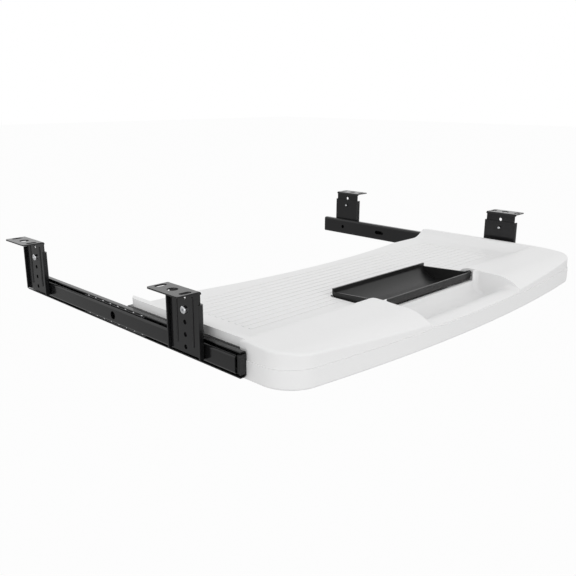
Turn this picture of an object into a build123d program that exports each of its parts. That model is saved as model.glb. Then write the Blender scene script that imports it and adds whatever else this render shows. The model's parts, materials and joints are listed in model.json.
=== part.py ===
from build123d import *
import os

# Keyboard tray that hangs under a desk on two ball slides.
# Sizes are in millimetres. X is the user's right, Y points to the back of the desk, Z is up.
# The origin is on the underside of the desk top, in the middle of the four brackets.
# Pieces are drawn on the right side and mirrored to the left.

# Layout under the desk
plate_span = 599.0
bracket_pitch = 305.0
overrun = 5.0

# Upper bracket: a flange for the desk and an upright plate with a row of height holes
upper_sheet = 1.5
flange_reach = 25.5
flange_width = 49.0
plate_width = 46.0
plate_margin = 6.0
bend_radius = 1.5
plate_corner = 3.0
desk_slot_length = 13.0
desk_slot_width = 6.0
desk_slot_pitch = 38.0
desk_hole_radius = 5.5
desk_hole_outset = 12.5
height_hole_radius = 2.4
height_hole_first = 10.0
height_hole_pitch = 12.5
height_hole_count = 5
clamp_hole_index = 1
bead_radius = 1.2
bead_height = 1.0
bead_offset = 12.5
bead_margin = 9.0

# Lower bracket: a channel that wraps the upright plate and carries the rail
lower_sheet = 2.0
lower_top = 12.5
lower_height = 54.0
lip_reach = 4.5
lip_gap = 0.7
lip_bend_radius = 0.5

# Screw that clamps the two brackets, and the tapped collar of the lower bracket that it enters
clamp_radius = 1.95
clamp_head_radius = 4.0
clamp_head_height = 2.6
clamp_overhang = 0.8
collar_radius = 3.1
collar_height = 1.4
thread_clearance = 0.05
cross_width = 1.1
cross_reach = 2.2
cross_depth = 1.3

# Ball slide
rail_sheet = 1.2
rail_thickness = 10.0
rail_middle_z = -60.5
rail_corner = 3.0
fixed_height = 18.5
fixed_depth = 6.1
fixed_length = 405.0
fixed_rear_overhang = 8.0
fixed_hole_radius = 4.6
fixed_hole_y = -16.0
moving_depth = 7.4
moving_rear_overhang = 11.0
moving_slot_length = 18.0
moving_slot_width = 6.0
moving_slot_y = 68.5
moving_hole_radius = 3.0
moving_hole_y = 152.0
ball_radius = 1.5
ball_gap = 2.4
ball_clearance = 0.05
ball_count = 8
ball_pitch = 15.3
cage_sheet = 0.7
cage_margin = 6.5
cage_offset = 3.5
cage_tip_overhang = 0.2
cage_pocket_clearance = 0.08
stop_inset = 17.95
stop_height = 8.0
stop_slack = 1.0
stop_clearance = 0.5
stop_reach = 2.0
bumper_thickness = 3.0
bumper_height = 18.0
bumper_gap = 0.2

# Rivets that join each fixed rail to its lower brackets
rivet_radius = 2.0
rivet_clearance = 0.05
rivet_head_radius = 3.4
rivet_head_height = 1.1
rivet_pitch = 31.0
flush_gap = 0.1

# Angle that is riveted to the moving rail and carries the rim of the deck
angle_sheet = 1.5
angle_leg = 18.0
angle_drop = 20.0
angle_top_z = -48.3
angle_bend_radius = 1.8
angle_end_gap = 0.5
angle_rear_inset = 3.0
angle_rivet_inset = 16.0
angle_rivet_count = 3

# Deck: keyboard floor, side ledges and raised palm rest in one moulded shell
deck_rear = -27.0
deck_front = -295.0
deck_notch = 17.5
deck_shoulder = 83.0
deck_rear_corner = 14.0
deck_front_corner = 35.0
deck_bow = 20.0
deck_wall = 3.0
deck_step_y = -214.5
ledge_inset = 3.0
front_gap = 1.5
floor_z = -51.0
rim_z = -39.1
ledge_flat = 7.0
ledge_foot_inset = 30.0
palm_foot_y = -194.0
palm_crest_y = -222.0
palm_brow_y = -260.0
palm_fall = 1.5
nose_radius = 51.0
palm_edge_radius = 3.0
parting_z = -57.5
seat_side_gap = 0.7
rib_count = 12
rib_pitch = 10.5
rib_width = 4.0
rib_height = 0.45
rib_first_y = -60.0
rib_end_inset = 15.0

# Bay in the middle of the palm rest for the pencil tray and the user's fingers
bay_half = 95.0
bay_rear = -152.5
bay_wall = 2.5
bay_floor_z = -68.0
bay_flat_rear = -190.0
bay_corner = 6.0
bay_rib_y = -227.5
bay_rib_width = 4.0
bay_rib_z = -52.5
scoop_y = -248.0
scoop_z = -70.5
scoop_reach = 15.0
scoop_slope = 1.9
bay_lip_y = -281.0
bay_lip_z = -54.0
bay_lip_fall = 4.0
rest_rib_x = 60.0
rest_rib_width = 3.0
rest_rib_length = 14.0

# Base: shallow pan that closes the deck from below
base_gap = 0.15
base_bottom_z = -77.0
base_wall = 2.5
base_proud = 1.2
base_rail_clearance = 1.3
base_rear_inset = 22.0
base_rear_bottom_z = -67.0
base_taper_front = -170.0
base_edge_radius = 2.5
boss_radius = 6.0
deck_boss_radius = 4.5
counterbore_radius = 4.0
counterbore_z = -64.0

# Screws of the deck and the base
shell_screw_radius = 1.5
shell_screw_length = 11.0
shell_head_radius = 3.0
shell_head_height = 2.0
shell_screw_inset = 44.5
shell_screw_outset = 21.0
shell_screw_front_y = -264.0
shell_screw_rear_y = -78.0
rim_screw_radius = 1.75
rim_screw_length = 6.3
rim_head_radius = 3.5
rim_head_height = 2.2
rim_screw_inset = 5.5
rim_screw_count = 3
screw_clearance = 0.05
hole_clearance = 0.25

# Pencil tray, which tips forward on two pins
pencil_side_gap = 4.0
pencil_wall = 2.0
pencil_front = -227.0
pencil_rear_gap = 2.5
pencil_top_z = -42.4
pencil_bottom_z = -62.5
pencil_front_height = 8.6
pencil_side_z = -46.5
pencil_deep_y = -186.0
pivot_y = -223.0
pivot_z = -45.4
pivot_radius = 2.0
pivot_clearance = 0.1
ear_radius = 4.3
ear_thickness = 3.5
ear_mouth = 3.2
pin_end_gap = 0.3
rest_gap = 0.3

# Places that follow from the sizes above
plate_outer = plate_span / 2
plate_inner = plate_outer - upper_sheet
rail_outer = plate_inner - lower_sheet
rail_inner = rail_outer - rail_thickness
plate_height = height_hole_first + (height_hole_count - 1) * height_hole_pitch + plate_margin
bracket_ys = (-bracket_pitch / 2, bracket_pitch / 2)
clamp_z = -height_hole_first - clamp_hole_index * height_hole_pitch
fixed_rear = bracket_pitch / 2 + flange_width / 2 + fixed_rear_overhang
fixed_front = fixed_rear - fixed_length
fixed_tip = rail_outer - fixed_depth
moving_height = fixed_height + 2 * (ball_gap + rail_sheet)
moving_tip = rail_inner + moving_depth
moving_front = fixed_front - bumper_gap - bumper_thickness - rail_sheet
moving_rear = fixed_rear + moving_rear_overhang
ball_x = (fixed_tip + moving_tip) / 2
ball_z = (fixed_height + ball_gap) / 2
cage_length = (ball_count - 1) * ball_pitch + 2 * cage_margin
cage_web_outer = (fixed_tip + rail_inner + rail_sheet + cage_sheet) / 2
cage_middle_y = (fixed_front + fixed_rear) / 2 + cage_offset
fixed_stop_y = fixed_front + stop_inset
tray_travel = 2 * (cage_middle_y - cage_length / 2 - stop_slack - fixed_stop_y)
moving_stop_y = cage_middle_y + cage_length / 2 + tray_travel / 2 + stop_slack
ledge_half = rail_inner - ledge_inset
front_half = rail_inner - front_gap
deck_notch_half = ledge_half - deck_shoulder
rib_half = ledge_half - ledge_foot_inset - rib_end_inset
angle_inner = rail_inner - angle_leg
seat_half = angle_inner - seat_side_gap
angle_front = deck_step_y + angle_end_gap
angle_rear = deck_rear - angle_rear_inset
rim_screw_x = ledge_half - rim_screw_inset
pencil_rear = bay_rear - pencil_rear_gap
pencil_half = bay_half - pencil_side_gap


def block(x_range, y_range, z_range):
    """Box between two values on each axis."""
    ranges = (x_range, y_range, z_range)
    size = [high - low for low, high in ranges]
    middle = [(high + low) / 2 for low, high in ranges]
    return Pos(*middle) * Box(*size)


def rod_x(radius, x_range, y, z):
    """Round bar along X."""
    low, high = x_range
    return Pos((low + high) / 2, y, z) * Rot(0, 90, 0) * Cylinder(radius, high - low)


def rod_y(radius, y_range, x, z):
    """Round bar along Y."""
    low, high = y_range
    return Pos(x, (low + high) / 2, z) * Rot(90, 0, 0) * Cylinder(radius, high - low)


def rod_z(radius, z_range, x, y):
    """Round bar along Z."""
    low, high = z_range
    return Pos(x, y, (low + high) / 2) * Cylinder(radius, high - low)


def spaced(low, high, count):
    """Even places from low to high."""
    return [low + (high - low) * step / (count - 1) for step in range(count)]


def bent(points, corners):
    """Face of an outline, with a radius at some of its corners."""
    face = make_face(Polyline(*points, close=True))
    for point, radius in corners:
        corner = face.vertices().sort_by_distance(point)[0]
        face = fillet(corner, radius)
    return face


def left(solid):
    """The same piece on the left side."""
    return mirror(solid, about=Plane.YZ)


def both(solid):
    """A shape and its mirror image."""
    return solid + left(solid)


def upper_bracket():
    half = flange_width / 2
    top_bend = (plate_inner, -half, 0)
    inner_bend = (plate_outer, -half, -upper_sheet)
    profile = bent(
        [
            top_bend,
            (plate_outer + flange_reach, -half, 0),
            (plate_outer + flange_reach, -half, -upper_sheet),
            inner_bend,
            (plate_outer, -half, -plate_height),
            (plate_inner, -half, -plate_height),
        ],
        [(top_bend, bend_radius + upper_sheet / 2), (inner_bend, bend_radius)],
    )
    body = extrude(profile, amount=flange_width, dir=(0, 1, 0))
    relief_z = -upper_sheet - bend_radius
    for side in (-1, 1):
        edges = sorted((side * plate_width / 2, side * (half + overrun)))
        body -= block(
            (plate_inner - overrun, plate_outer + bend_radius),
            edges,
            (-plate_height - overrun, relief_z),
        )
    flange_corners = body.edges().filter_by(Axis.Z).group_by(Axis.X)[-1]
    plate_corners = body.edges().filter_by(Axis.X).group_by(Axis.Z)[0]
    body = fillet(flange_corners + plate_corners, plate_corner)
    hole_x = plate_outer + desk_hole_outset
    through = (-upper_sheet - overrun, overrun)
    body -= rod_z(desk_hole_radius, through, hole_x, 0)
    for y in (-desk_slot_pitch / 2, desk_slot_pitch / 2):
        slot = Pos(hole_x, y, -upper_sheet - overrun) * SlotOverall(desk_slot_length, desk_slot_width)
        body -= extrude(slot, amount=upper_sheet + 2 * overrun)
    bead_x = plate_outer + bead_height - bead_radius
    bead_low = -plate_height + bead_margin
    for y in (-bead_offset, bead_offset):
        body += rod_z(bead_radius, (bead_low, -bead_margin), bead_x, y)
        body += Pos(bead_x, y, bead_low) * Sphere(bead_radius)
        body += Pos(bead_x, y, -bead_margin) * Sphere(bead_radius)
    for index in range(height_hole_count):
        z = -height_hole_first - index * height_hole_pitch
        body -= rod_x(height_hole_radius, (plate_inner - overrun, plate_outer + overrun), 0, z)
    return body


def lower_bracket():
    inner_half = plate_width / 2 + lip_gap
    outer_half = inner_half + lower_sheet
    tip = plate_inner + lip_reach
    outline = [(rail_outer, -outer_half), (tip, -outer_half), (tip, -inner_half), (plate_inner, -inner_half)]
    outline += [(x, -y) for x, y in reversed(outline)]
    bottom = -lower_top - lower_height
    corners = []
    for side in (-1, 1):
        corners.append(((rail_outer, side * outer_half, 0), lip_bend_radius + lower_sheet))
        corners.append(((plate_inner, side * inner_half, 0), lip_bend_radius))
    profile = bent([(x, y, 0) for x, y in outline], corners)
    body = Pos(0, 0, bottom) * extrude(profile, amount=lower_height)
    body += rod_x(collar_radius, (rail_outer - collar_height, rail_outer), 0, clamp_z)
    tapped = (rail_outer - collar_height - overrun, plate_inner + overrun)
    body -= rod_x(clamp_radius + thread_clearance, tapped, 0, clamp_z)
    for y in (-rivet_pitch / 2, rivet_pitch / 2):
        hole = (rail_outer - overrun, plate_inner + overrun)
        body -= rod_x(rivet_radius + rivet_clearance, hole, y, rail_middle_z)
    return body


def clamp_screw():
    head = rod_x(clamp_head_radius, (plate_outer, plate_outer + clamp_head_height), 0, clamp_z)
    head = fillet(head.edges().group_by(Axis.X)[-1], clamp_head_height / 2)
    top = plate_outer + clamp_head_height
    recess = (top - cross_depth, top + overrun)
    for wide, high in ((cross_reach, cross_width / 2), (cross_width / 2, cross_reach)):
        head -= block(recess, (-wide, wide), (clamp_z - high, clamp_z + high))
    tip = rail_outer - collar_height - clamp_overhang
    return head + rod_x(clamp_radius, (tip, plate_outer), 0, clamp_z)


def rail_rivet():
    body = rod_x(rivet_radius, (rail_outer - rail_sheet, plate_inner - flush_gap), 0, rail_middle_z)
    head_end = rail_outer - rail_sheet - rivet_head_height
    head = rod_x(rivet_head_radius, (head_end, rail_outer - rail_sheet), 0, rail_middle_z)
    head = fillet(head.edges().group_by(Axis.X)[0], rivet_head_height / 2)
    return body + head


def channel(web, web_face, tip, height, y_range):
    """Rail with its web from web_face to web and its flanges reaching to tip."""
    low, high = y_range
    z_low = rail_middle_z - height / 2
    z_high = rail_middle_z + height / 2
    points = [
        (tip, low, z_high),
        (web, low, z_high),
        (web, low, z_low),
        (tip, low, z_low),
        (tip, low, z_low + rail_sheet),
        (web_face, low, z_low + rail_sheet),
        (web_face, low, z_high - rail_sheet),
        (tip, low, z_high - rail_sheet),
    ]
    corners = [((web, low, z), rail_corner) for z in (z_low, z_high)]
    corners += [((web_face, low, z), rail_corner - rail_sheet) for z in (z_low + rail_sheet, z_high - rail_sheet)]
    body = extrude(bent(points, corners), amount=high - low, dir=(0, 1, 0))
    groove = ball_radius + ball_clearance
    for z in (rail_middle_z - ball_z, rail_middle_z + ball_z):
        body -= rod_y(groove, (low - overrun, high + overrun), ball_x, z)
    return body


def fixed_rail():
    web_face = rail_outer - rail_sheet
    body = channel(rail_outer, web_face, fixed_tip, fixed_height, (fixed_front, fixed_rear))
    through = (web_face - overrun, rail_outer + overrun)
    for middle in bracket_ys:
        for y in (middle - rivet_pitch / 2, middle + rivet_pitch / 2):
            body -= rod_x(rivet_radius + rivet_clearance, through, y, rail_middle_z)
    body -= rod_x(fixed_hole_radius, through, fixed_hole_y, rail_middle_z)
    stop_z = (rail_middle_z - stop_height / 2, rail_middle_z + stop_height / 2)
    stop_tip = rail_inner + rail_sheet + stop_clearance
    return body + block((stop_tip, web_face), (fixed_stop_y - rail_sheet, fixed_stop_y), stop_z)


def angle_rivet_ys():
    return spaced(angle_front + angle_rivet_inset, angle_rear - angle_rivet_inset, angle_rivet_count)


def moving_rail():
    web_face = rail_inner + rail_sheet
    body = channel(rail_inner, web_face, moving_tip, moving_height, (moving_front, moving_rear))
    through = (rail_inner - overrun, web_face + overrun)
    body -= rod_x(moving_hole_radius, through, moving_hole_y, rail_middle_z)
    slot = SlotOverall(moving_slot_length, moving_slot_width, rotation=90)
    slot = extrude(slot, amount=rail_sheet + 2 * overrun)
    body -= Pos(through[0], moving_slot_y, rail_middle_z) * Rot(0, 90, 0) * slot
    for y in angle_rivet_ys():
        body -= rod_x(rivet_radius + rivet_clearance, through, y, rail_middle_z)
    half = moving_height / 2 - rail_corner
    end_z = (rail_middle_z - half, rail_middle_z + half)
    body += block((rail_inner, moving_tip), (moving_front, moving_front + rail_sheet), end_z)
    stop_z = (rail_middle_z - stop_height / 2, rail_middle_z + stop_height / 2)
    return body + block((rail_inner, web_face + stop_reach), (moving_stop_y, moving_stop_y + rail_sheet), stop_z)


def closing_bumper():
    front = moving_front + rail_sheet
    z_range = (rail_middle_z - bumper_height / 2, rail_middle_z + bumper_height / 2)
    body = block((rail_inner + rail_sheet, moving_tip), (front, front + bumper_thickness), z_range)
    return chamfer(body.edges().filter_by(Axis.Z).group_by(Axis.Y)[-1], flush_gap)


def ball_places():
    first = cage_middle_y - (ball_count - 1) * ball_pitch / 2
    ys = [first + index * ball_pitch for index in range(ball_count)]
    return [(ball_x, y, z) for z in (rail_middle_z - ball_z, rail_middle_z + ball_z) for y in ys]


def balls():
    return Compound(children=[Pos(*place) * Sphere(ball_radius) for place in ball_places()])


def ball_cage():
    y_range = (cage_middle_y - cage_length / 2, cage_middle_y + cage_length / 2)
    tip = moving_tip + cage_tip_overhang
    high = ball_z + cage_sheet / 2
    body = block((cage_web_outer - cage_sheet, tip), y_range, (rail_middle_z - high, rail_middle_z + high))
    low = ball_z - cage_sheet / 2
    body -= block((cage_web_outer, tip + overrun), y_range, (rail_middle_z - low, rail_middle_z + low))
    pocket = ball_radius + cage_pocket_clearance
    for x, y, z in ball_places():
        body -= rod_z(pocket, (z - cage_sheet, z + cage_sheet), x, y)
    return body


def support_angle():
    y = angle_front
    bend = (rail_inner, y, angle_top_z)
    low = angle_top_z - angle_drop
    points = [
        (angle_inner, y, angle_top_z),
        bend,
        (rail_inner, y, low),
        (rail_inner - angle_sheet, y, low),
        (rail_inner - angle_sheet, y, angle_top_z - angle_sheet),
        (angle_inner, y, angle_top_z - angle_sheet),
    ]
    body = extrude(bent(points, [(bend, angle_bend_radius)]), amount=angle_rear - angle_front, dir=(0, 1, 0))
    for y in angle_rivet_ys():
        through = (rail_inner - angle_sheet - overrun, rail_inner + overrun)
        body -= rod_x(rivet_radius + rivet_clearance, through, y, rail_middle_z)
    for y in rim_screw_ys():
        through = (angle_top_z - angle_sheet - overrun, angle_top_z + overrun)
        body -= rod_z(rim_screw_radius + hole_clearance, through, rim_screw_x, y)
    return body


def angle_rivets():
    inner = rail_inner - angle_sheet
    pieces = []
    for y in angle_rivet_ys():
        shank = rod_x(rivet_radius, (inner, rail_inner + rail_sheet), y, rail_middle_z)
        head = rod_x(rivet_head_radius, (inner - rivet_head_height, inner), y, rail_middle_z)
        head = fillet(head.edges().group_by(Axis.X)[0], rivet_head_height / 2)
        pieces.append(shank + head)
    return pieces


def rim_screw_ys():
    return spaced(angle_front + 2 * angle_rivet_inset, angle_rear - 2 * angle_rivet_inset, rim_screw_count)


def rim_screws():
    under = angle_top_z - angle_sheet
    pieces = []
    for y in rim_screw_ys():
        head = rod_z(rim_head_radius, (under - rim_head_height, under), rim_screw_x, y)
        head = fillet(head.edges().group_by(Axis.Z)[0], rim_head_height / 2)
        pieces.append(head + rod_z(rim_screw_radius, (under, under + rim_screw_length), rim_screw_x, y))
    return pieces


def rear_plan(half, inset):
    """Outline of the deck behind the palm rest, with its shallow rear notch."""
    rear = deck_rear - inset
    join = deck_step_y - overrun
    notch_half = deck_notch_half + inset
    corner = max(deck_rear_corner - inset, deck_wall)
    outline = Polyline(
        (-notch_half, rear), (-half, rear), (-half, join), (half, join), (half, rear), (notch_half, rear)
    )
    notch = ThreePointArc((notch_half, rear), (0, rear - deck_notch), (-notch_half, rear))
    face = make_face(outline + notch)
    for x in (-half, half):
        face = fillet(face.vertices().sort_by_distance((x, rear, 0))[0], corner)
    return face


def front_plan(half, inset, join):
    """Outline of the palm rest, with its bowed front and round corners."""
    front = deck_front + inset
    shoulder = front + deck_bow
    outline = Polyline((half, shoulder), (half, join), (-half, join), (-half, shoulder))
    bow = ThreePointArc((-half, shoulder), (0, front), (half, shoulder))
    face = make_face(outline + bow)
    for x in (-half, half):
        face = fillet(face.vertices().sort_by_distance((x, shoulder, 0))[0], deck_front_corner - inset)
    return face


def deck_section(drop):
    """Side view of the deck's top surface: level floor, rise, palm rest."""
    floor = floor_z - drop
    rim = rim_z - drop
    rear = deck_rear + overrun
    front = deck_front - overrun
    crest = palm_crest_y
    brow = palm_brow_y
    brow_z = rim - palm_fall
    rise = (palm_crest_y - palm_foot_y) / 2
    fall = (palm_brow_y - palm_crest_y) / 2
    run = brow - front
    half_drop = nose_radius - (nose_radius ** 2 - (run / 2) ** 2) ** (1 / 2)
    drop_z = brow_z - nose_radius + (nose_radius ** 2 - run ** 2) ** (1 / 2)
    curve = [
        Line((0, rear, floor), (0, palm_foot_y, floor)),
        Bezier((0, palm_foot_y, floor), (0, palm_foot_y + rise, floor), (0, crest - rise, rim), (0, crest, rim)),
        Bezier((0, crest, rim), (0, crest + fall, rim), (0, brow - fall, brow_z), (0, brow, brow_z)),
        ThreePointArc((0, brow, brow_z), (0, brow - run / 2, brow_z - half_drop), (0, front, drop_z)),
    ]
    low = base_bottom_z
    ends = Polyline((0, front, drop_z), (0, front, low), (0, rear, low), (0, rear, floor))
    face = make_face(curve + [ends])
    return extrude(face, amount=front_half + overrun, dir=(1, 0, 0), both=True)


def ledge():
    """Side ledge: flat rim outside, hollow slope down to the floor."""
    flat = ledge_half - ledge_flat
    foot = ledge_half - ledge_foot_inset
    run = flat - foot
    rise = rim_z - floor_z
    radius = (run ** 2 + rise ** 2) / (2 * rise)
    half_run = run / 2
    mid_z = floor_z + radius - (radius ** 2 - half_run ** 2) ** (1 / 2)
    y = palm_crest_y
    outer = [
        (flat, y, rim_z),
        (ledge_half, y, rim_z),
        (ledge_half, y, parting_z),
        (foot, y, parting_z),
        (foot, y, floor_z),
    ]
    slope = ThreePointArc((foot, y, floor_z), (foot + half_run, y, mid_z), (flat, y, rim_z))
    face = make_face(Polyline(*outer) + slope)
    return extrude(face, amount=deck_rear - palm_crest_y, dir=(0, 1, 0))


def bay_recess(wall, front):
    """Hollow under the pencil tray as far as front, grown by wall."""
    rear = bay_rear + wall
    low = bay_floor_z - wall
    top = rim_z + overrun
    turn = (rear - bay_flat_rear) / 2
    curve = [
        Bezier((0, rear, low + turn), (0, rear, low), (0, rear - turn, low), (0, bay_flat_rear, low)),
        Polyline((0, bay_flat_rear, low), (0, front, low), (0, front, top), (0, rear, top), (0, rear, low + turn)),
    ]
    body = extrude(make_face(curve), amount=bay_half + wall, dir=(1, 0, 0), both=True)
    cheeks = body.faces().filter_by(Axis.X).edges()
    foot = cheeks.filter_by(lambda edge: edge.center().Z < low + turn / 2 and edge.center().Y > front)
    return fillet(foot, bay_corner + wall)


def bay_scoop(wall, front):
    """Hollow for the fingers in front of the pencil tray, grown by wall."""
    rear = bay_rib_y - bay_rib_width + wall
    low = scoop_z - wall
    lip = bay_lip_z - wall
    lip_end = lip - bay_lip_fall
    top = rim_z + overrun
    ramp = (lip - low) / 2
    start = low + scoop_reach
    curve = [
        Bezier((0, rear, start), (0, rear, start - scoop_reach / 2), (0, scoop_y + ramp, low), (0, scoop_y, low)),
        Bezier(
            (0, scoop_y, low),
            (0, scoop_y - ramp, low),
            (0, bay_lip_y + ramp * scoop_slope, lip - ramp / 4),
            (0, bay_lip_y, lip),
        ),
        Bezier((0, bay_lip_y, lip), (0, (bay_lip_y + front) / 2, lip), (0, front, lip_end)),
        Polyline((0, front, lip_end), (0, front, top), (0, rear, top), (0, rear, start)),
    ]
    body = extrude(make_face(curve), amount=bay_half + wall, dir=(1, 0, 0), both=True)
    cheeks = body.faces().filter_by(Axis.X).edges()
    foot = cheeks.filter_by(lambda edge: edge.center().Z < lip + wall / 2 and edge.center().Y < rear - base_gap)
    return fillet(foot, bay_corner + wall)


def bay_hollow():
    """The whole opening in the palm rest: recess, scoop and the gap above the rib between them."""
    rib = (bay_rib_y - bay_rib_width, bay_rib_y)
    over_rib = block((-bay_half, bay_half), rib, (bay_rib_z, rim_z + overrun))
    return bay_recess(0, bay_rib_y) + over_rib + bay_scoop(0, deck_front - overrun)


def shell_screw_places():
    places = []
    for x in (bay_half + shell_screw_outset, front_half - shell_screw_inset):
        for y in (shell_screw_front_y, shell_screw_rear_y):
            places += [(x, y), (-x, y)]
    return places


def deck():
    section = deck_section(0)
    tall = rim_z - parting_z + overrun
    rear_body = Pos(0, 0, parting_z) * extrude(rear_plan(ledge_half, 0), amount=tall)
    front_body = Pos(0, 0, parting_z) * extrude(front_plan(front_half, 0, deck_step_y), amount=tall)
    front_body = front_body & section
    top_edges = front_body.edges().filter_by(lambda edge: edge.center().Z > parting_z + flush_gap)
    top_edges = top_edges.filter_by(Axis.Z, reverse=True)
    sides = top_edges.filter_by(lambda edge: abs(edge.center().X) > front_half - deck_front_corner)
    bow = top_edges.filter_by(lambda edge: edge.center().Y < deck_front + overrun)
    front_body = fillet(sides + bow, palm_edge_radius)
    rim = both(ledge()) & rear_body
    body = (rear_body & section) + rim + front_body
    for side in (-1, 1):
        seat = sorted((side * seat_half, side * (front_half + overrun)))
        body -= block(seat, (deck_step_y, deck_rear + overrun), (parting_z - overrun, angle_top_z))
    lowered = deck_section(deck_wall)
    deep = tall + overrun
    rear_hollow = extrude(rear_plan(seat_half - deck_wall, deck_wall), amount=deep)
    front_hollow = front_plan(front_half - deck_wall, deck_wall, deck_step_y - deck_wall)
    front_hollow = extrude(front_hollow, amount=deep)
    hollow = (Pos(0, 0, parting_z - overrun) * (rear_hollow + front_hollow)) & lowered
    inside = front_plan(front_half - deck_wall, deck_wall, deck_rear)
    inside = Pos(0, 0, base_bottom_z) * extrude(inside, amount=deep - base_bottom_z + parting_z)
    bay_shell = (bay_recess(bay_wall, scoop_y) + bay_scoop(bay_wall, deck_front)) & inside
    hollow -= bay_shell
    body -= hollow
    body += bay_shell & lowered
    body -= bay_hollow()
    rest_y = (pencil_deep_y - rest_rib_length / 2, pencil_deep_y + rest_rib_length / 2)
    rest_x = (rest_rib_x - rest_rib_width / 2, rest_rib_x + rest_rib_width / 2)
    body += both(block(rest_x, rest_y, (bay_floor_z - bay_wall, pencil_bottom_z - rest_gap)))
    for index in range(rib_count):
        y = rib_first_y - index * rib_pitch
        strip = (y - rib_width / 2, y + rib_width / 2)
        heights = (floor_z - rib_height, floor_z + rib_height)
        inner = bay_half + bay_wall if strip[0] < bay_rear + bay_wall else 0
        body += both(block((inner, rib_half), strip, heights))
    boss_top = deck_section(deck_wall / 2)
    for x, y in shell_screw_places():
        body += rod_z(deck_boss_radius, (parting_z, rim_z), x, y) & boss_top
    for x, y in shell_screw_places():
        tip = counterbore_z + shell_screw_length + flush_gap
        body -= rod_z(shell_screw_radius + screw_clearance, (parting_z - overrun, tip), x, y)
    for y in rim_screw_ys():
        tip = angle_top_z - angle_sheet + rim_screw_length + flush_gap
        pilot = rod_z(rim_screw_radius + screw_clearance, (angle_top_z - overrun, tip), rim_screw_x, y)
        body -= both(pilot)
    pin_hole = rod_x(pivot_radius + screw_clearance, (bay_half - overrun, bay_half + bay_wall), pivot_y, pivot_z)
    return body - both(pin_hole)


def base_section(lift):
    """Side view of the pan, shallower towards its rear end."""
    rear = deck_rear - base_rear_inset
    low = base_bottom_z + lift
    rear_low = base_rear_bottom_z + lift
    front = deck_front - overrun
    points = [
        (0, front, low),
        (0, base_taper_front, low),
        (0, rear, rear_low),
        (0, rear, rim_z),
        (0, front, rim_z),
    ]
    return extrude(make_face(Polyline(*points, close=True)), amount=front_half + overrun, dir=(1, 0, 0), both=True)


def base_plan(inset):
    rear_half = seat_half - base_rail_clearance - inset
    rear = deck_rear - base_rear_inset - inset
    join = deck_step_y - inset
    tail = Pos(0, (rear + join - overrun) / 2) * Rectangle(2 * rear_half, rear - join + overrun)
    return front_plan(front_half + base_proud - inset, inset - base_proud, join) + tail


def base():
    top = parting_z - base_gap
    deep = top - base_bottom_z
    body = Pos(0, 0, base_bottom_z) * extrude(base_plan(0), amount=deep)
    body = body & base_section(0)
    body = fillet(body.faces().sort_by(Axis.Z)[0].outer_wire().edges(), base_edge_radius)
    outside = body
    hollow = Pos(0, 0, base_bottom_z) * extrude(base_plan(base_wall), amount=deep + overrun)
    body = body - (hollow & base_section(base_wall))
    for x, y in shell_screw_places():
        boss = rod_z(boss_radius, (base_bottom_z, top), x, y) & outside
        body += boss
        body += rod_z(deck_boss_radius, (top - base_wall, parting_z), x, y)
    for x, y in shell_screw_places():
        body -= rod_z(counterbore_radius, (base_bottom_z - overrun, counterbore_z), x, y)
        body -= rod_z(shell_screw_radius + hole_clearance, (base_bottom_z - overrun, parting_z + overrun), x, y)
    return body


def base_screws():
    pieces = []
    for x, y in shell_screw_places():
        head = rod_z(shell_head_radius, (counterbore_z - shell_head_height, counterbore_z), x, y)
        head = fillet(head.edges().group_by(Axis.Z)[0], shell_head_height / 2)
        shank = rod_z(shell_screw_radius, (counterbore_z, counterbore_z + shell_screw_length), x, y)
        pieces.append(head + shank)
    return pieces


def pencil_bottom(wall, rear):
    """Rounded bottom of the pencil tray from its rear wall to its front wall."""
    low = pencil_bottom_z + wall
    front = pencil_front + wall
    front_low = pencil_top_z - pencil_front_height
    rear_run = (rear - pencil_deep_y) / 2
    front_run = (pencil_deep_y - front) / 2
    shoulder = (pencil_side_z + low) / 2
    return [
        Bezier((0, rear, pencil_side_z), (0, rear, shoulder), (0, rear - rear_run, low), (0, pencil_deep_y, low)),
        Bezier(
            (0, pencil_deep_y, low),
            (0, pencil_deep_y - front_run, low),
            (0, front + front_run, (low + front_low) / 2),
            (0, front, front_low),
        ),
    ]


def pencil_tray():
    inner_rear = pencil_rear - pencil_wall
    inner_front = pencil_front + pencil_wall
    front_low = pencil_top_z - pencil_front_height
    rear_top = Polyline(
        (0, pencil_rear, pencil_side_z),
        (0, pencil_rear, pencil_top_z),
        (0, inner_rear, pencil_top_z),
        (0, inner_rear, pencil_side_z),
    )
    front_top = Polyline(
        (0, pencil_front, front_low),
        (0, pencil_front, pencil_top_z),
        (0, inner_front, pencil_top_z),
        (0, inner_front, front_low),
    )
    outer = pencil_bottom(0, pencil_rear)
    inner = pencil_bottom(pencil_wall, inner_rear)
    body = extrude(make_face(outer + [rear_top] + inner + [front_top]), amount=pencil_half, dir=(1, 0, 0), both=True)
    rim = Polyline((0, pencil_front, front_low), (0, pencil_front, pencil_top_z), (0, pencil_rear, pencil_side_z))
    cheek = extrude(make_face(outer + [rim]), amount=pencil_wall, dir=(1, 0, 0))
    cheek = Pos(pencil_half - pencil_wall, 0, 0) * cheek
    ear = rod_x(ear_radius, (pencil_half - pencil_wall, pencil_half + ear_thickness), pivot_y, pivot_z)
    body += both(cheek + ear)
    bore = rod_x(pivot_radius + pivot_clearance, (pencil_half, pencil_half + ear_thickness), pivot_y, pivot_z)
    mouth = block(
        (pencil_half, pencil_half + ear_thickness),
        (pivot_y - ear_radius - overrun, pivot_y),
        (pivot_z - ear_mouth / 2, pivot_z + ear_mouth / 2),
    )
    return body - both(bore + mouth)


def pencil_pin():
    return rod_x(pivot_radius, (pencil_half + pin_end_gap, bay_half + bay_wall), pivot_y, pivot_z)


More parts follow.
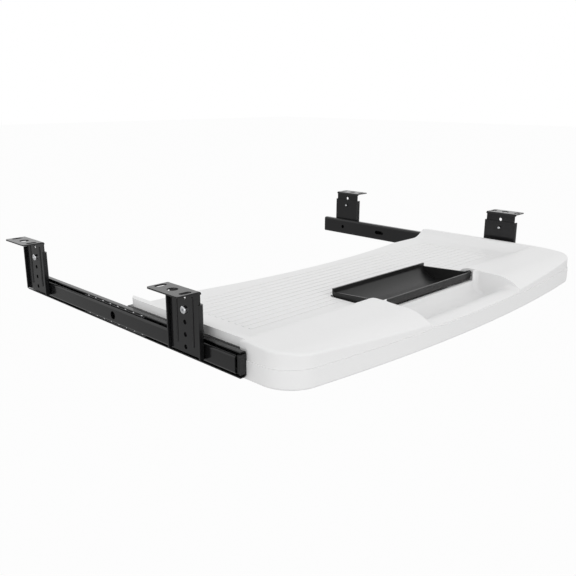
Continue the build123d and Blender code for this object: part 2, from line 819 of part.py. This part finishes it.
def save(name, pieces):
    """Write one node, as one solid or as a group of separate solids."""
    group = pieces if isinstance(pieces, list) else [pieces]
    solids = [solid for piece in group for solid in piece.solids()]
    shape = solids[0] if len(solids) == 1 else Compound(children=solids)
    shape.label = name
    export_step(shape, f"parts/{name}.step")


def at_brackets(piece):
    """A bracket's piece at the front and the rear, on both sides."""
    places = [Pos(0, y, 0) * piece for y in bracket_ys]
    return places + [left(place) for place in places]


def save_pair(name, piece):
    """The right piece and its mirror image as two nodes."""
    save(f"{name}_right", piece)
    save(f"{name}_left", [left(solid) for solid in (piece if isinstance(piece, list) else [piece])])


def main():
    os.makedirs("parts", exist_ok=True)
    for end, y in zip(("front", "rear"), bracket_ys):
        save_pair(f"upper_bracket_{end}", Pos(0, y, 0) * upper_bracket())
        save_pair(f"lower_bracket_{end}", Pos(0, y, 0) * lower_bracket())
    save("clamp_screws", at_brackets(clamp_screw()))
    rivet_pair = [Pos(0, y, 0) * rail_rivet() for y in (-rivet_pitch / 2, rivet_pitch / 2)]
    save("rail_rivets", [place for rivet in rivet_pair for place in at_brackets(rivet)])
    save_pair("fixed_rail", fixed_rail())
    save_pair("moving_rail", moving_rail())
    save_pair("closing_bumper", closing_bumper())
    save_pair("ball_cage", ball_cage())
    save_pair("balls", balls())
    save_pair("support_angle", support_angle())
    rivets = angle_rivets()
    save("angle_rivets", rivets + [left(rivet) for rivet in rivets])
    screws = rim_screws()
    save("rim_screws", screws + [left(screw) for screw in screws])
    save("deck", deck())
    save("base", base())
    save("base_screws", base_screws())
    save("pencil_tray", pencil_tray())
    save("pencil_pins", [pencil_pin(), left(pencil_pin())])


main()
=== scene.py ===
import bpy
import bmesh
import json
import math
from mathutils import Euler, Matrix, Vector


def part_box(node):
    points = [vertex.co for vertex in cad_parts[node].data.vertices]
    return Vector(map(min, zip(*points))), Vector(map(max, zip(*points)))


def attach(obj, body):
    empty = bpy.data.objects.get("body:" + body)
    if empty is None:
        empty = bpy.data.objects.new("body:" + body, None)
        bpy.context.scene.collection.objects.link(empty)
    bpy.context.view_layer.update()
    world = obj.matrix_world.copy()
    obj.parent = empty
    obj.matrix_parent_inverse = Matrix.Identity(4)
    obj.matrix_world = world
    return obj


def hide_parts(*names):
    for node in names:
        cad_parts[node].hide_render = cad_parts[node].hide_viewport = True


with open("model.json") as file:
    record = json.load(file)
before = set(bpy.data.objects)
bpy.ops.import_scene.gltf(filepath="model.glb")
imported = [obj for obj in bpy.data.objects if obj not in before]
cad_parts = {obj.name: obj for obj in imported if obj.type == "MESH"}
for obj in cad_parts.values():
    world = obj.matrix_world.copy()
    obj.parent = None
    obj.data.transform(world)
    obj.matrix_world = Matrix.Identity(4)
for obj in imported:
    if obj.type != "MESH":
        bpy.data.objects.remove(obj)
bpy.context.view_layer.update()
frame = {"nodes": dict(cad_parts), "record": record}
print("frame loaded:", len(frame["nodes"]), "CAD nodes")

# Camera of the photograph, fitted to the board and the left slide
photoCamera = {
    "imageSize": 576,          # pixels
    "focalLength": 694.965,    # pixels
    "sensor": 36.0,            # mm
    "nearest": 0.01,
    "place": (-0.6744, -0.6643, 0.1749),
    "yaw": 0.787087,
    "pitch": 0.27368,
    "roll": 0.003106,
}

studio = {
    "worldLevel": 0.88,
    "backdropLevel": 1.0,
    "floorDrop": 0.75,         # the tray hangs this far above the floor
    "floorSize": 40.0,
    "floorColour": (0.55, 0.55, 0.55),
    "floorGlow": 0.96,         # share of plain white that the camera sees on the floor
    "floorGloss": 0.0,         # the same for reflections, which at 0 see the plain floor
    "keyPlace": (-0.3, -2.8, 0.3),
    "keySize": 1.6,
    "keyPower": 13.0,
    "topPlace": (-0.5, 0.4, 2.6),
    "topSize": 2.4,
    "topPower": 4.5,
    "sidePlace": (-2.2, -0.9, -0.1),
    "sideSize": 1.8,
    "sidePower": 8.0,
    "cardMiddle": (-0.9, -0.9, 1.7),   # dark card that only reflections see
    "cardRadius": 2.0,
    "cardColour": (0.2, 0.2, 0.2),
    "cardCorners": 48,
}


class Value:                   # a shader socket that works in sums
    def __init__(self, shader, socket):
        self.shader = shader
        self.socket = socket

    def math(self, operation, other):
        return self.shader.node("ShaderNodeMath", {"operation": operation}, [self, other])

    def __add__(self, other):
        return self.math("ADD", other)

    def __mul__(self, other):
        return self.math("MULTIPLY", other)

    def __gt__(self, other):
        return self.math("GREATER_THAN", other)

    __radd__ = __add__
    __rmul__ = __mul__


class Shader:                  # builds one node tree
    def __init__(self, owner):
        owner.use_nodes = True
        self.tree = owner.node_tree
        self.tree.nodes.clear()

    def node(self, kind, settings=None, inputs=(), output=0):
        made = self.tree.nodes.new(kind)
        for name, value in (settings or {}).items():
            setattr(made, name, value)
        pairs = inputs.items() if isinstance(inputs, dict) else enumerate(inputs)
        for name, value in pairs:
            if isinstance(value, Value):
                self.tree.links.new(value.socket, made.inputs[name])
            else:
                made.inputs[name].default_value = value
        return Value(self, made.outputs[output]) if made.outputs else made

    def ray(self, kind):       # 1 where the ray is of this kind
        return self.node("ShaderNodeLightPath", None, (), kind)


def colourMix(shader, factor, first, second):
    # Inputs 6 and 7 of a Mix node are its colours, and output 2 is the mixed colour
    inputs = {0: factor, 6: (*first, 1), 7: (*second, 1)}
    return shader.node("ShaderNodeMix", {"data_type": "RGBA"}, inputs, 2)


def noise(shader, place, scale, detail):
    return shader.node("ShaderNodeTexNoise", None, {"Vector": place, "Scale": scale, "Detail": detail})


grainParts = {
    "driftDetail": 3.0,
    "grainDetail": 2.0,
    "fineDetail": 1.0,
    "fineScale": 3.7,          # times the scale of the grain
    "fineShare": 0.5,
}


def surface(name, finish):
    # A finish: colour with slow drift, roughness with slow drift, fine grain as bump
    material = bpy.data.materials.new(name)
    shader = Shader(material)
    place = shader.node("ShaderNodeTexCoord", None, (), "Object")
    drift = noise(shader, place, finish["driftScale"], grainParts["driftDetail"])
    colour = colourMix(shader, drift, finish["colour"], finish["colourTo"])
    grain = noise(shader, place, finish["grainScale"], grainParts["grainDetail"])
    fine = noise(shader, place, finish["grainScale"] * grainParts["fineScale"], grainParts["fineDetail"])
    roughness = drift * finish["roughnessDrift"] + finish["roughness"] + grain * finish["roughnessGrain"]
    height = grain + fine * grainParts["fineShare"]
    bump = shader.node("ShaderNodeBump", None, {
        "Strength": 1.0, "Distance": finish["grainHeight"], "Height": height})
    principled = shader.node("ShaderNodeBsdfPrincipled", None, {
        "Base Color": colour,
        "Roughness": roughness,
        "Metallic": finish.get("metallic", 0.0),
        "Specular IOR Level": finish.get("specular", 0.5),
        "Normal": bump,
    })
    shader.node("ShaderNodeOutputMaterial", None, {"Surface": principled})
    return material


finishes = {
    "black_enamel": {"colour": (0.004, 0.004, 0.004), "colourTo": (0.008, 0.008, 0.009), "driftScale": 18.0,
                     "roughness": 0.13, "roughnessDrift": 0.06, "roughnessGrain": 0.05, "specular": 0.42,
                     "grainScale": 900.0, "grainHeight": 0.000012},
    "zinc_steel": {"colour": (0.78, 0.78, 0.78), "colourTo": (0.66, 0.68, 0.71), "driftScale": 120.0,
                   "roughness": 0.18, "roughnessDrift": 0.12, "roughnessGrain": 0.08, "metallic": 1.0,
                   "grainScale": 2400.0, "grainHeight": 0.000006},
    "ball_steel": {"colour": (0.86, 0.86, 0.87), "colourTo": (0.8, 0.8, 0.81), "driftScale": 200.0,
                   "roughness": 0.05, "roughnessDrift": 0.03, "roughnessGrain": 0.02, "metallic": 1.0,
                   "grainScale": 3000.0, "grainHeight": 0.000002},
    "cage_plastic": {"colour": (0.05, 0.05, 0.052), "colourTo": (0.07, 0.07, 0.072), "driftScale": 60.0,
                     "roughness": 0.38, "roughnessDrift": 0.08, "roughnessGrain": 0.05,
                     "grainScale": 1600.0, "grainHeight": 0.00001},
    "bumper_rubber": {"colour": (0.012, 0.012, 0.012), "colourTo": (0.022, 0.022, 0.022), "driftScale": 80.0,
                      "roughness": 0.62, "roughnessDrift": 0.1, "roughnessGrain": 0.1,
                      "grainScale": 1500.0, "grainHeight": 0.00002},
    "white_plastic": {"colour": (0.79, 0.79, 0.79), "colourTo": (0.815, 0.815, 0.815), "driftScale": 7.0,
                      "roughness": 0.42, "roughnessDrift": 0.06, "roughnessGrain": 0.08,
                      "grainScale": 1400.0, "grainHeight": 0.00002},
    "black_plastic": {"colour": (0.009, 0.009, 0.009), "colourTo": (0.015, 0.015, 0.015), "driftScale": 25.0,
                      "roughness": 0.28, "roughnessDrift": 0.06, "roughnessGrain": 0.08, "specular": 0.4,
                      "grainScale": 1500.0, "grainHeight": 0.000015},
}


def paintFrame():
    for row in frame["record"]["subparts"]:
        node = frame["nodes"][row["node"]]
        node.data.materials.clear()
        node.data.materials.append(materials[row["material_slot"]])


def makeCamera():
    sizes = photoCamera
    data = bpy.data.cameras.new("photoCamera")
    data.sensor_width = sizes["sensor"]
    data.lens = sizes["focalLength"] / sizes["imageSize"] * sizes["sensor"]
    data.clip_start = sizes["nearest"]
    camera = bpy.data.objects.new("photoCamera", data)
    bpy.context.scene.collection.objects.link(camera)
    aim = Euler((math.pi / 2 - sizes["pitch"], 0, -sizes["yaw"])).to_matrix()
    turn = (aim @ Matrix.Rotation(sizes["roll"], 3, "Z")).to_4x4()
    camera.matrix_world = Matrix.Translation(sizes["place"]) @ turn
    bpy.context.scene.camera = camera


def areaLight(name, place, size, power):
    data = bpy.data.lights.new(name, "AREA")
    data.shape = "DISK"
    data.size = size
    data.energy = power
    light = bpy.data.objects.new(name, data)
    bpy.context.scene.collection.objects.link(light)
    light.location = place
    light.rotation_euler = Vector(place).to_track_quat("Z", "Y").to_euler()


def makeStudio():
    sizes = studio
    world = bpy.data.worlds.new("studio")
    bpy.context.scene.world = world
    shader = Shader(world)
    seen = shader.ray("Is Camera Ray") + shader.ray("Is Glossy Ray")
    seen = (seen + shader.ray("Is Transmission Ray")) > 0.5
    level = seen * (sizes["backdropLevel"] - sizes["worldLevel"]) + sizes["worldLevel"]
    background = shader.node("ShaderNodeBackground", None, {"Color": (1, 1, 1, 1), "Strength": level})
    shader.node("ShaderNodeOutputWorld", None, {"Surface": background})
    half = sizes["floorSize"] / 2
    mesh = bpy.data.meshes.new("floor")
    height = -sizes["floorDrop"]
    corners = [(-half, -half, height), (half, -half, height), (half, half, height), (-half, half, height)]
    mesh.from_pydata(corners, [], [(0, 1, 2, 3)])
    floor = bpy.data.objects.new("floor", mesh)
    bpy.context.scene.collection.objects.link(floor)
    mesh.materials.append(floorMaterial())
    areaLight("keyLight", sizes["keyPlace"], sizes["keySize"], sizes["keyPower"])
    areaLight("topLight", sizes["topPlace"], sizes["topSize"], sizes["topPower"])
    areaLight("sideLight", sizes["sidePlace"], sizes["sideSize"], sizes["sidePower"])
    makeCard()


def makeCard():
    sizes = studio
    shape = bmesh.new()
    bmesh.ops.create_circle(shape, cap_ends=True, segments=sizes["cardCorners"], radius=sizes["cardRadius"])
    bmesh.ops.translate(shape, verts=shape.verts, vec=sizes["cardMiddle"])
    mesh = bpy.data.meshes.new("darkCard")
    shape.to_mesh(mesh)
    shape.free()
    card = bpy.data.objects.new("darkCard", mesh)
    bpy.context.scene.collection.objects.link(card)
    card.visible_camera = card.visible_shadow = False
    card.visible_diffuse = card.visible_transmission = False
    material = bpy.data.materials.new("darkCard")
    shader = Shader(material)
    dull = shader.node("ShaderNodeBsdfDiffuse", None, {"Color": (*sizes["cardColour"], 1)})
    shader.node("ShaderNodeOutputMaterial", None, {"Surface": dull})
    mesh.materials.append(material)


def floorMaterial():
    # Pale floor that the camera sees as nearly white, with the shadow kept
    material = bpy.data.materials.new("paleFloor")
    shader = Shader(material)
    mirrored = shader.ray("Is Glossy Ray") + shader.ray("Is Transmission Ray")
    seen = shader.ray("Is Camera Ray") * studio["floorGlow"] + mirrored * studio["floorGloss"]
    plain = shader.node("ShaderNodeBsdfDiffuse", None, {"Color": (*studio["floorColour"], 1)})
    glow = shader.node("ShaderNodeEmission", None, {
        "Color": (1, 1, 1, 1), "Strength": studio["backdropLevel"]})
    mixed = shader.node("ShaderNodeMixShader", None, {"Fac": seen, 1: plain, 2: glow})
    shader.node("ShaderNodeOutputMaterial", None, {"Surface": mixed})
    return material


# Pieces that start from the CAD mesh and get their rounded edges here

nodeRows = {row["node"]: row for row in frame["record"]["subparts"]}
bodyOf = {node: body for body, nodes in frame["record"]["behaviour"]["bodies"].items() for node in nodes}


meshing = {                    # angles in degrees, lengths in metres
    "mergeWithin": 0.000002,
    "flatAngle": 0.2,          # faces that turn less than this become one
    "roundedAngle": 30.0,      # edges that turn more than this get rounded
    "cornerAngle": 50.0,       # the same, for the last pass over a piece that has curves
    "sharpAngle": 38.0,        # edges that turn more than this stay sharp in the shading
    "sharpOnHeads": 35.0,
}


def cadShape(node):            # the CAD mesh, joined up, with its flat faces whole
    shape = bmesh.new()
    shape.from_mesh(frame["nodes"][node].data)
    bmesh.ops.remove_doubles(shape, verts=shape.verts, dist=meshing["mergeWithin"])
    angle = math.radians(meshing["flatAngle"])
    bmesh.ops.dissolve_limit(shape, angle_limit=angle, verts=shape.verts, edges=shape.edges)
    return shape


def softEdges(shape, width, steps, where=None, sharp=meshing["roundedAngle"]):
    chosen = []
    for edge in shape.edges:
        if len(edge.link_faces) != 2 or edge.calc_face_angle(0) < math.radians(sharp):
            continue
        middle = (edge.verts[0].co + edge.verts[1].co) / 2
        if where is None or where(middle, edge):
            chosen.append(edge)
    bmesh.ops.bevel(shape, geom=chosen, offset=width, segments=steps, profile=0.5,
                    affect="EDGES", clamp_overlap=True)
    return len(chosen)


def shadeSmooth(shape, sharp):
    for face in shape.faces:
        face.smooth = True
    for edge in shape.edges:
        edge.smooth = edge.calc_face_angle(0) < math.radians(sharp)


def finishPiece(name, shape, body, slot, *nodes):
    shadeSmooth(shape, meshing["sharpAngle"])
    mesh = bpy.data.meshes.new(name)
    shape.to_mesh(mesh)
    shape.free()
    piece = bpy.data.objects.new(name, mesh)
    bpy.context.scene.collection.objects.link(piece)
    even = piece.modifiers.new("evenNormals", "WEIGHTED_NORMAL")
    even.keep_sharp = True
    mesh.materials.append(materials[slot])
    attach(piece, body)
    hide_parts(*nodes)


edgeWidths = {                 # width of the rounded edge in metres, and its steps
    "upper_bracket": (0.0003, 2),
    "lower_bracket": (0.0003, 2),
    "fixed_rail": (0.00015, 2),
    "moving_rail": (0.00015, 2),
    "support_angle": (0.0002, 2),
    "closing_bumper": (0.0004, 2),
    "base": (0.0007, 4),
}
baseRim = {                    # the base's outer edge under the parting line
    "radius": 0.00025,
    "steps": 5,
    "height": -0.0577,
    "frontFrom": -0.21,        # it runs along the front and up to the slides
    "sideFrom": 0.29,
    "sharp": 60.0,
    "heightWithin": 0.0002,
    "levelWithin": 0.0001,
}


def atRim(middle, edge):
    sizes = baseRim
    outside = middle.y < sizes["frontFrom"] or abs(middle.x) > sizes["sideFrom"]
    level = abs(edge.verts[0].co.z - edge.verts[1].co.z) < sizes["levelWithin"]
    return outside and level and abs(middle.z - sizes["height"]) < sizes["heightWithin"]


def makeRounded():
    for node, row in nodeRows.items():
        kind = next((name for name in edgeWidths if node.startswith(name) and "screws" not in node), None)
        if kind:
            shape = cadShape(node)
            width, steps = edgeWidths[kind]
            if kind == "base":
                softEdges(shape, baseRim["radius"], baseRim["steps"], atRim, baseRim["sharp"])
            softEdges(shape, width, steps)
            finishPiece(node + "Shell", shape, bodyOf[node], row["material_slot"], node)


trayEdges = {                  # pencil tray
    "wall": 0.002,
    "earThickness": 0.0035,
    "endRadius": 0.0025,       # inside, where the floor meets the end walls
    "endSteps": 5,
    "plainRadius": 0.0004,
    "plainSteps": 3,
    "belowRim": 0.003,
    "within": 0.0002,
}


def makePencilTray():
    sizes = trayEdges
    shape = cadShape("pencil_tray")
    low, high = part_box("pencil_tray")
    inner = high.x - sizes["earThickness"] - sizes["wall"]

    def inside(middle, edge):
        return abs(abs(middle.x) - inner) < sizes["within"] and middle.z < high.z - sizes["belowRim"]

    softEdges(shape, sizes["endRadius"], sizes["endSteps"], inside)
    softEdges(shape, sizes["plainRadius"], sizes["plainSteps"], None, meshing["cornerAngle"])
    finishPiece("pencilTrayShell", shape, bodyOf["pencil_tray"], "black_plastic", "pencil_tray")


deckEdges = {                  # edges of the bay's sides, of the ribs and of the rest
    "bayHalf": 0.095,
    "bayWithin": 0.0003,
    "bayAbove": -0.0525,
    "palmFoot": -0.197,
    "rimRadius": 0.003,
    "rimSteps": 5,
    "ribRadius": 0.0004,
    "ribHeight": -0.051,
    "ribWithin": 0.0006,
    "ribHalf": 0.24,
    "ribFront": -0.185,
    "ribRear": -0.05,
    "plainRadius": 0.0007,
    "plainSteps": 3,
    "partingHeight": -0.0575,
    "partingWithin": 0.00002,
    "partingClosed": 0.00014,  # the rim comes down this far, so that the parting line stays light
}


def makeDeck():
    sizes = deckEdges
    shape = cadShape("deck")
    for vertex in shape.verts:
        if abs(vertex.co.z - sizes["partingHeight"]) < sizes["partingWithin"]:
            vertex.co.z -= sizes["partingClosed"]

    def bayRim(middle, edge):
        beside = abs(abs(middle.x) - sizes["bayHalf"]) < sizes["bayWithin"]
        return beside and middle.y < sizes["palmFoot"] and middle.z > sizes["bayAbove"]

    def ribEdge(middle, edge):
        level = abs(middle.z - sizes["ribHeight"]) < sizes["ribWithin"]
        return level and abs(middle.x) < sizes["ribHalf"] and sizes["ribFront"] < middle.y < sizes["ribRear"]

    def otherEdge(middle, edge):
        return middle.z > sizes["partingHeight"] and not ribEdge(middle, edge)

    rounded = softEdges(shape, sizes["rimRadius"], sizes["rimSteps"], bayRim)
    softEdges(shape, sizes["ribRadius"], sizes["plainSteps"], ribEdge)
    softEdges(shape, sizes["plainRadius"], sizes["plainSteps"], otherEdge, meshing["cornerAngle"])
    finishPiece("deckShell", shape, bodyOf["deck"], "white_plastic", "deck")
    return rounded


# Screws, rivets and balls: one shape on every place that the frame gives

def islands(node):             # lowest and highest corner of each separate solid of a node
    shape = bmesh.new()
    shape.from_mesh(frame["nodes"][node].data)
    bmesh.ops.remove_doubles(shape, verts=shape.verts, dist=meshing["mergeWithin"])
    left = set(shape.verts)
    found = []
    while left:
        group, waiting = set(), [left.pop()]
        while waiting:
            vertex = waiting.pop()
            group.add(vertex)
            near = {link.other_vert(vertex) for link in vertex.link_edges} & left
            left -= near
            waiting.extend(near)
        points = [vertex.co for vertex in group]
        low = Vector([min(point[axis] for point in points) for axis in range(3)])
        high = Vector([max(point[axis] for point in points) for axis in range(3)])
        found.append((low, high))
    shape.free()
    return sorted(found, key=lambda pair: tuple(pair[0]))


def lathe(name, outline, steps):   # outline of (radius, height) turned about Z
    shape = bmesh.new()
    rings = []
    for radius, height in outline:
        if radius == 0:
            rings.append([shape.verts.new((0, 0, height))])
            continue
        angles = [2 * math.pi * step / steps for step in range(steps)]
        rings.append([shape.verts.new((radius * math.cos(a), radius * math.sin(a), height)) for a in angles])
    for lower, upper in zip(rings, rings[1:]):
        for step in range(steps):
            after = (step + 1) % steps
            corners = [lower[step % len(lower)], lower[after % len(lower)],
                       upper[after % len(upper)], upper[step % len(upper)]]
            corners = list(dict.fromkeys(corners))
            shape.faces.new(corners)
    bmesh.ops.recalc_face_normals(shape, faces=shape.faces)
    mesh = bpy.data.meshes.new(name)
    shape.to_mesh(mesh)
    shape.free()
    made = bpy.data.objects.new(name, mesh)
    bpy.context.scene.collection.objects.link(made)
    return made


def arc(radius, centre, first, last, steps):   # points of an arc, as (radius, height)
    across, up = centre
    angles = [math.radians(first + (last - first) * step / steps) for step in range(steps + 1)]
    return [(max(0, across + radius * math.cos(a)), up + radius * math.sin(a)) for a in angles]


def repeatTree(name):          # points with an "aim" vector get one turned copy of a piece each
    tree = bpy.data.node_groups.new(name, "GeometryNodeTree")
    inputs = {"Geometry": "Geometry", "Piece": "Object", "Size": "Float", "Twist": "Float",
              "Seed": "Int", "Finish": "Material"}
    for label, kind in inputs.items():
        tree.interface.new_socket(label, in_out="INPUT", socket_type="NodeSocket" + kind)
    tree.interface.new_socket("Geometry", in_out="OUTPUT", socket_type="NodeSocketGeometry")
    make = tree.nodes.new
    link = tree.links.new
    given, result = make("NodeGroupInput"), make("NodeGroupOutput")
    aim = make("GeometryNodeInputNamedAttribute")
    aim.data_type = "FLOAT_VECTOR"
    aim.inputs["Name"].default_value = "aim"
    point = make("FunctionNodeAlignRotationToVector")
    point.axis = "Z"
    link(aim.outputs["Attribute"], point.inputs["Vector"])
    chance = make("FunctionNodeRandomValue")
    chance.data_type = "FLOAT"
    link(given.outputs["Twist"], chance.inputs[3])
    link(given.outputs["Seed"], chance.inputs["Seed"])
    spin = make("FunctionNodeAxisAngleToRotation")
    spin.inputs["Axis"].default_value = (0, 0, 1)
    link(chance.outputs[1], spin.inputs["Angle"])
    turn = make("FunctionNodeRotateRotation")
    turn.rotation_space = "LOCAL"
    link(point.outputs["Rotation"], turn.inputs["Rotation"])
    link(spin.outputs["Rotation"], turn.inputs["Rotate By"])
    piece = make("GeometryNodeObjectInfo")
    link(given.outputs["Piece"], piece.inputs["Object"])
    copies = make("GeometryNodeInstanceOnPoints")
    link(given.outputs["Geometry"], copies.inputs["Points"])
    link(piece.outputs["Geometry"], copies.inputs["Instance"])
    link(turn.outputs["Rotation"], copies.inputs["Rotation"])
    link(given.outputs["Size"], copies.inputs["Scale"])
    real = make("GeometryNodeRealizeInstances")
    link(copies.outputs["Instances"], real.inputs["Geometry"])
    paint = make("GeometryNodeSetMaterial")
    link(real.outputs["Geometry"], paint.inputs["Geometry"])
    link(given.outputs["Finish"], paint.inputs["Material"])
    link(paint.outputs["Geometry"], result.inputs["Geometry"])
    return tree


def repeat(node, master, aimed, slot, twist=0.0):   # aimed: a list of (place, aim)
    mesh = bpy.data.meshes.new(node + "Places")
    mesh.from_pydata([tuple(place) for place, aim in aimed], [], [])
    aims = mesh.attributes.new("aim", "FLOAT_VECTOR", "POINT")
    for index, (place, aim) in enumerate(aimed):
        aims.data[index].vector = aim
    holder = bpy.data.objects.new(node + "Places", mesh)
    bpy.context.scene.collection.objects.link(holder)
    modifier = holder.modifiers.new("repeat", "NODES")
    modifier.node_group = repeater
    values = {"Piece": master, "Size": 1.0, "Twist": twist, "Seed": len(aimed), "Finish": materials[slot]}
    for item in repeater.interface.items_tree:
        if item.in_out == "INPUT" and item.name in values:
            modifier[item.identifier] = values[item.name]
    bpy.context.view_layer.update()
    graph = bpy.context.evaluated_depsgraph_get()
    done = bpy.data.meshes.new_from_object(holder.evaluated_get(graph))
    bpy.data.objects.remove(holder)
    piece = bpy.data.objects.new(node + "Set", done)
    bpy.context.scene.collection.objects.link(piece)
    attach(piece, bodyOf[node])
    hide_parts(node)


def smooth(piece):
    shape = bmesh.new()
    shape.from_mesh(piece.data)
    shadeSmooth(shape, meshing["sharpOnHeads"])
    shape.to_mesh(piece.data)
    shape.free()


crossBottom = 0.55             # how much of the cross recess's width is left at its bottom


def cutCross(piece, sizes):    # cross recess in a screw head
    top, depth = sizes["headHeight"], sizes["crossDepth"]
    shape = bmesh.new()
    for turn in (0, math.pi / 2):
        box = bmesh.ops.create_cube(shape, size=1.0)["verts"]
        for vertex in box:
            share = crossBottom if vertex.co.z < 0 else 1.0
            vertex.co = Vector((vertex.co.x * 2 * sizes["crossReach"] * share,
                                vertex.co.y * sizes["crossWidth"] * share,
                                top - depth if vertex.co.z < 0 else top + depth))
            vertex.co.rotate(Matrix.Rotation(turn, 3, "Z"))
    mesh = bpy.data.meshes.new("crossCutter")
    shape.to_mesh(mesh)
    shape.free()
    cutter = bpy.data.objects.new("crossCutter", mesh)
    bpy.context.scene.collection.objects.link(cutter)
    cut = piece.modifiers.new("cross", "BOOLEAN")
    cut.operation = "DIFFERENCE"
    cut.solver = "EXACT"
    cut.use_self = True
    cut.object = cutter
    bpy.context.view_layer.update()
    graph = bpy.context.evaluated_depsgraph_get()
    done = bpy.data.meshes.new_from_object(piece.evaluated_get(graph))
    piece.modifiers.clear()
    piece.data = done
    bpy.data.objects.remove(cutter)


screws = {                     # pan heads, in metres
    "clamp_screws": {"headRadius": 0.004, "headHeight": 0.0026, "shankRadius": 0.00195,
                     "crossReach": 0.0022, "crossWidth": 0.0011, "crossDepth": 0.0013},
    "rim_screws": {"headRadius": 0.0035, "headHeight": 0.0022, "shankRadius": 0.00175,
                   "crossReach": 0.002, "crossWidth": 0.001, "crossDepth": 0.0012},
    "base_screws": {"headRadius": 0.003, "headHeight": 0.002, "shankRadius": 0.0015,
                    "crossReach": 0.0018, "crossWidth": 0.0009, "crossDepth": 0.0011},
}
rivets = {
    "rail_rivets": {"headRadius": 0.0034, "headHeight": 0.0011, "shankRadius": 0.002},
    "angle_rivets": {"headRadius": 0.0034, "headHeight": 0.0011, "shankRadius": 0.002},
}
uprightOnes = ("rim_screws", "base_screws")    # driven in from below; the others lie across the tray
heads = {
    "screwCorners": 32,
    "rivetCorners": 28,
    "screwArcSteps": 6,
    "rivetArcSteps": 5,
    "underHead": 0.0001,       # small chamfer under a screw's head
    "tipShare": 0.7,           # radius of the screw's tip as a share of its shank
    "tipLength": 0.4,          # length of the tip as a share of the shank's radius
}


def headTop(sizes, steps):     # rounded rim of a head, up to its middle
    corner = sizes["headHeight"] / 2
    centre = (sizes["headRadius"] - corner, sizes["headHeight"] - corner)
    return arc(corner, centre, 0, 90, steps) + [(0, sizes["headHeight"])]


def panHead(name, length, sizes):   # pan head above z = 0, shank below it
    radius, shank, under = sizes["headRadius"], sizes["shankRadius"], heads["underHead"]
    outline = [(0, -length), (shank * heads["tipShare"], -length)]
    outline += [(shank, -length + shank * heads["tipLength"]), (shank, 0)]
    outline += [(radius - under, 0), (radius, under)]
    outline += headTop(sizes, heads["screwArcSteps"])
    made = lathe(name, outline, heads["screwCorners"])
    cutCross(made, sizes)
    smooth(made)
    return made


def rivetHead(name, length, sizes):
    shank = sizes["shankRadius"]
    outline = [(0, -length), (shank, -length), (shank, 0), (sizes["headRadius"], 0)]
    outline += headTop(sizes, heads["rivetArcSteps"])
    made = lathe(name, outline, heads["rivetCorners"])
    smooth(made)
    return made


def makeFasteners():
    for node, sizes in {**screws, **rivets}.items():
        found = islands(node)
        low, high = found[0]
        along = 2 if node in uprightOnes else 0
        height = sizes["headHeight"]
        length = (high - low)[along] - height
        build = panHead if node in screws else rivetHead
        master = build(node + "Master", length, sizes)
        aimed = []
        for low, high in found:
            middle = (low + high) / 2
            if node in uprightOnes:
                aim = Vector((0, 0, -1))
            else:              # clamp screws face outwards, rivets show their heads inwards
                outward = 1 if node == "clamp_screws" else -1
                aim = Vector((math.copysign(1, middle.x) * outward, 0, 0))
            end = high if aim[along] > 0 else low
            place = middle.copy()
            place[along] = end[along] - aim[along] * height
            aimed.append((place, aim))
        repeat(node, master, aimed, "zinc_steel", math.pi / 2 if node in screws else 0.0)
        bpy.data.objects.remove(master)


ballSteps = 3                  # how finely a ball is divided


def makeBalls():
    for side in ("left", "right"):
        node = "balls_" + side
        found = islands(node)
        radius = (found[0][1].x - found[0][0].x) / 2
        shape = bmesh.new()
        bmesh.ops.create_icosphere(shape, subdivisions=ballSteps, radius=radius)
        mesh = bpy.data.meshes.new("ballMaster")
        shape.to_mesh(mesh)
        shape.free()
        master = bpy.data.objects.new("ballMaster", mesh)
        bpy.context.scene.collection.objects.link(master)
        smooth(master)
        aimed = [((low + high) / 2, Vector((0, 0, 1))) for low, high in found]
        repeat(node, master, aimed, "ball_steel")
        bpy.data.objects.remove(master)


bpy.context.scene.view_settings.view_transform = "Standard"
makeCamera()
makeStudio()
materials = {name: surface(name, finish) for name, finish in finishes.items()}
repeater = repeatTree("repeatPiece")
paintFrame()
print("camera, studio and finishes ready")
makeRounded()
print("rounded metal and plastic pieces ready")
print("deck ready, bay rim edges:", makeDeck())
makePencilTray()
makeFasteners()
makeBalls()
print("screws, rivets and balls ready")
